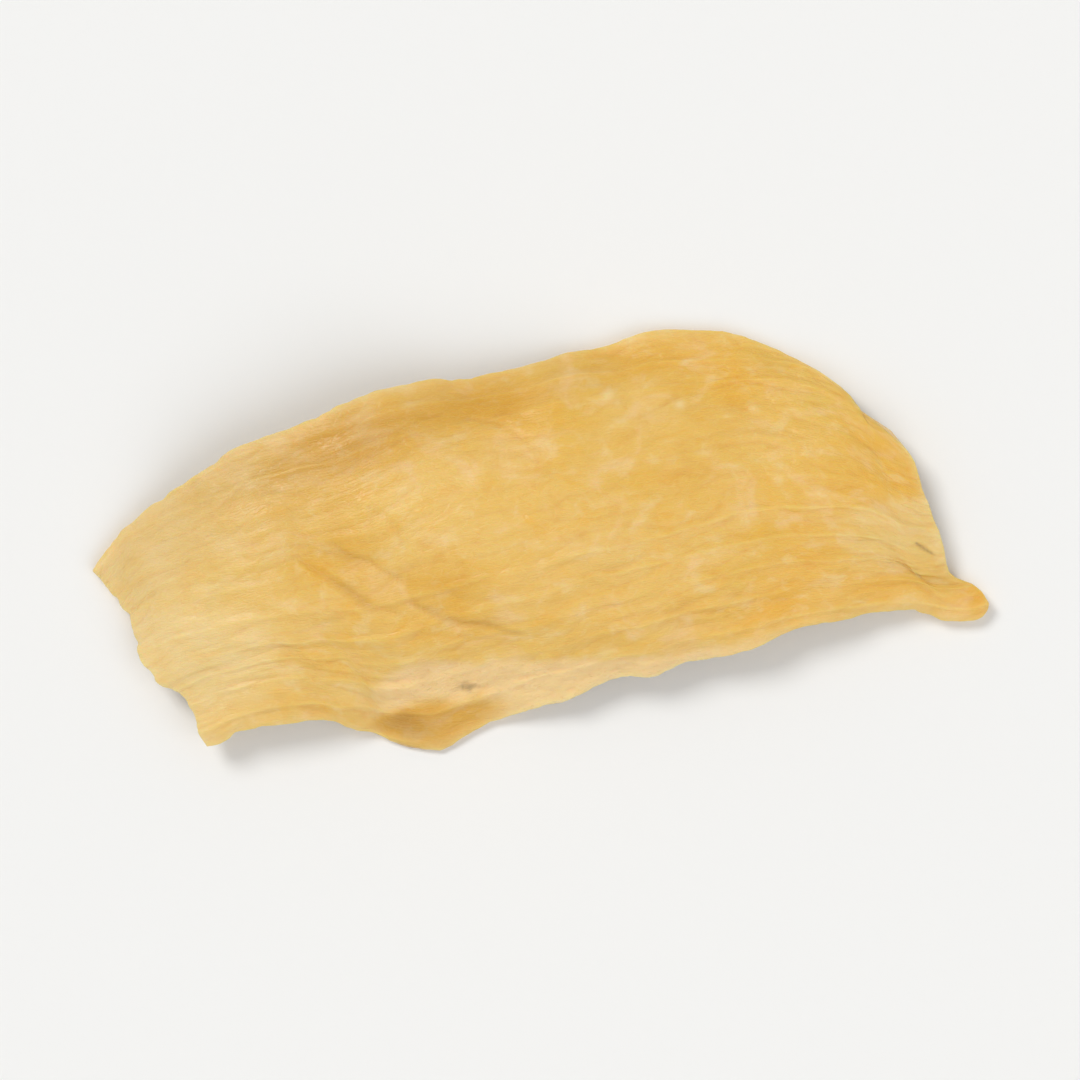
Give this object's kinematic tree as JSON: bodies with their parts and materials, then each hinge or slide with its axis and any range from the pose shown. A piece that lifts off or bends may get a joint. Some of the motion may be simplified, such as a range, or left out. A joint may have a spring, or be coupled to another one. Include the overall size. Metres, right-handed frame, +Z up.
{
  "type": "dried onion flake",
  "caption": "Broad thin flake of dried onion: an arched golden sheet with wavy knife-cut margins and a narrow spur, lying convex side up.",
  "frame": {"origin": "middle of the flake's footprint, on the surface it rests on", "axes": "+X along the veins towards the narrow spur, +Y across the veins towards the round bulge, +Z up, out of the convex side"},
  "size_m": [0.0239, 0.0114, 0.0031],
  "materials": {
    "onion_tissue": "satin"
  },
  "bodies": {
    "root": {"onion_flake": "onion_tissue"}
  },
  "joints": []
}
